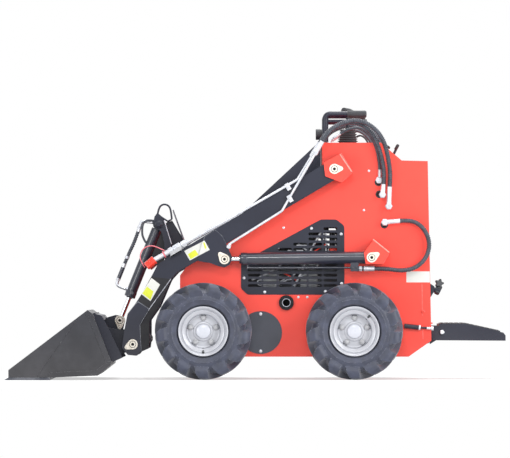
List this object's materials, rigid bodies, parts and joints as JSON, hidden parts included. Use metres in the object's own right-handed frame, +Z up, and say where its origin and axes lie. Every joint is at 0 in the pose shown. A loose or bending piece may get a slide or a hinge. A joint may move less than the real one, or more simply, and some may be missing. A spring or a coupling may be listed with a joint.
{
  "type": "stand-on mini skid steer loader",
  "caption": "Stand-on mini skid steer loader with lift arms, a low bucket, four lug tyres, a slotted engine body and a fold-up operator platform.",
  "frame": {"origin": "on the ground below the centre of the machine's overall box", "axes": "+X from the bucket to the operator platform, +Y to the machine's right, +Z up"},
  "size_m": [2.363, 1.05, 1.289],
  "materials": {
    "body_paint": "gloss coral red paint",
    "arm_paint": "satin anthracite paint",
    "black_steel": "satin blue-black paint",
    "cylinder_paint": "gloss black paint",
    "rod_chrome": "hard chrome",
    "zinc_plate": "zinc plated steel",
    "rim_paint": "silver-white paint",
    "tyre_rubber": "moulded rubber",
    "hose_rubber": "hose rubber with spiral guard",
    "boot_rubber": "moulded rubber",
    "cast_iron": "plain block",
    "bare_steel": "worn steel",
    "lamp_plastic": "black housing",
    "cap_plastic": "red dust cap"
  },
  "bodies": {
    "chassis": {"side_panels": "body_paint", "engine_grilles": "arm_paint", "chassis_frame": "body_paint", "front_cowl": "body_paint", "top_deck": "body_paint", "rear_cover": "body_paint", "drive_covers": "black_steel", "exhaust_outlet": "bare_steel", "engine_block": "cast_iron", "pivot_brackets": "body_paint", "body_pins": "zinc_plate", "grab_bar": "black_steel", "control_levers": "black_steel", "lever_boot": "boot_rubber", "work_light": "lamp_plastic", "rear_brackets": "black_steel", "hose_fittings": "black_steel", "arch_hose_inner_left": "hose_rubber", "arch_hose_inner_right": "hose_rubber", "arch_hose_outer_left": "hose_rubber", "arch_hose_outer_right": "hose_rubber", "lift_hose_left": "hose_rubber", "lift_hose_right": "hose_rubber"},
    "hood": {"hood": "arm_paint"},
    "platform": {"operator_platform": "black_steel"},
    "boom": {"boom_arms": "arm_paint", "boom_cross_tubes": "arm_paint", "cylinder_mast": "arm_paint", "boom_pins": "zinc_plate", "boom_pipes": "zinc_plate", "aux_couplers": "zinc_plate", "coupler_caps": "cap_plastic"},
    "wheel_front_left": {"tyre_front_left": "tyre_rubber", "rim_front_left": "rim_paint"},
    "wheel_front_right": {"tyre_front_right": "tyre_rubber", "rim_front_right": "rim_paint"},
    "wheel_rear_left": {"tyre_rear_left": "tyre_rubber", "rim_rear_left": "rim_paint"},
    "wheel_rear_right": {"tyre_rear_right": "tyre_rubber", "rim_rear_right": "rim_paint"},
    "lift_barrel_left": {"lift_barrel_left": "cylinder_paint"},
    "lift_rod_left": {"lift_rod_left": "rod_chrome"},
    "lift_barrel_right": {"lift_barrel_right": "cylinder_paint"},
    "lift_rod_right": {"lift_rod_right": "rod_chrome"},
    "bucket": {"hitch_frame": "black_steel", "hitch_pins": "zinc_plate", "bucket": "black_steel", "cutting_edge": "bare_steel"},
    "bucket_barrel": {"bucket_barrel": "cylinder_paint", "cylinder_hose": "hose_rubber"},
    "bucket_rod": {"bucket_rod": "rod_chrome"}
  },
  "joints": [
    {"name": "wheel_front_left_spin", "type": "hinge", "parent": "chassis", "child": "wheel_front_left", "pos_m": [-0.248, -0.3925, 0.228], "axis": [0, 1, 0], "continuous": true},
    {"name": "wheel_front_right_spin", "type": "hinge", "parent": "chassis", "child": "wheel_front_right", "pos_m": [-0.248, 0.3925, 0.228], "axis": [0, 1, 0], "continuous": true},
    {"name": "wheel_rear_left_spin", "type": "hinge", "parent": "chassis", "child": "wheel_rear_left", "pos_m": [0.462, -0.3925, 0.228], "axis": [0, 1, 0], "continuous": true},
    {"name": "wheel_rear_right_spin", "type": "hinge", "parent": "chassis", "child": "wheel_rear_right", "pos_m": [0.462, 0.3925, 0.228], "axis": [0, 1, 0], "continuous": true},
    {"name": "boom_lift", "type": "hinge", "parent": "chassis", "child": "boom", "pos_m": [0.369, 0, 0.992], "axis": [0, 1, 0], "range_deg": [0, 75], "deforming": ["arch_hose_inner_left", "arch_hose_inner_right", "arch_hose_outer_left", "arch_hose_outer_right"]},
    {"name": "lift_barrel_left_tilt", "type": "hinge", "parent": "chassis", "child": "lift_barrel_left", "pos_m": [0.5445, -0.315, 0.575], "axis": [0, 1, 0], "range_deg": [0, 49], "deforming": ["lift_hose_left"]},
    {"name": "lift_rod_left_slide", "type": "slide", "parent": "lift_barrel_left", "child": "lift_rod_left", "axis": [-0.9999, 0, -0.0115], "range_m": [0, 0.389]},
    {"name": "lift_barrel_right_tilt", "type": "hinge", "parent": "chassis", "child": "lift_barrel_right", "pos_m": [0.5445, 0.315, 0.575], "axis": [0, 1, 0], "range_deg": [0, 49], "deforming": ["lift_hose_right"]},
    {"name": "lift_rod_right_slide", "type": "slide", "parent": "lift_barrel_right", "child": "lift_rod_right", "axis": [-0.9999, 0, -0.0115], "range_m": [0, 0.389]},
    {"name": "bucket_tilt", "type": "hinge", "parent": "boom", "child": "bucket", "pos_m": [-0.581, 0, 0.166], "axis": [0, -1, 0], "range_deg": [-25, 104]},
    {"name": "bucket_barrel_tilt", "type": "hinge", "parent": "boom", "child": "bucket_barrel", "pos_m": [-0.463, 0, 0.735], "axis": [0, -1, 0], "range_deg": [-1.1, 4.5]},
    {"name": "bucket_rod_slide", "type": "slide", "parent": "bucket_barrel", "child": "bucket_rod", "axis": [-0.3745, 0, -0.9272], "range_m": [-0.049, 0.2]},
    {"name": "platform_fold", "type": "hinge", "parent": "chassis", "child": "platform", "pos_m": [0.879, 0, 0.2205], "axis": [0, -1, 0], "range_deg": [0, 85]},
    {"name": "hood_open", "type": "hinge", "parent": "chassis", "child": "hood", "pos_m": [0.308, 0, 1.118], "axis": [0, 1, 0], "range_deg": [0, 50]}
  ],
  "couplings": [
    {"joint": "lift_barrel_left_tilt", "follows": "boom_lift", "ratio": 0.6524},
    {"joint": "lift_rod_left_slide", "follows": "boom_lift", "m_per_rad": 0.2966},
    {"joint": "lift_barrel_right_tilt", "follows": "boom_lift", "ratio": 0.6524},
    {"joint": "lift_rod_right_slide", "follows": "boom_lift", "m_per_rad": 0.2966},
    {"joint": "bucket_barrel_tilt", "follows": "bucket_tilt", "ratio": 0.0423},
    {"joint": "bucket_rod_slide", "follows": "bucket_tilt", "m_per_rad": 0.1098}
  ]
}
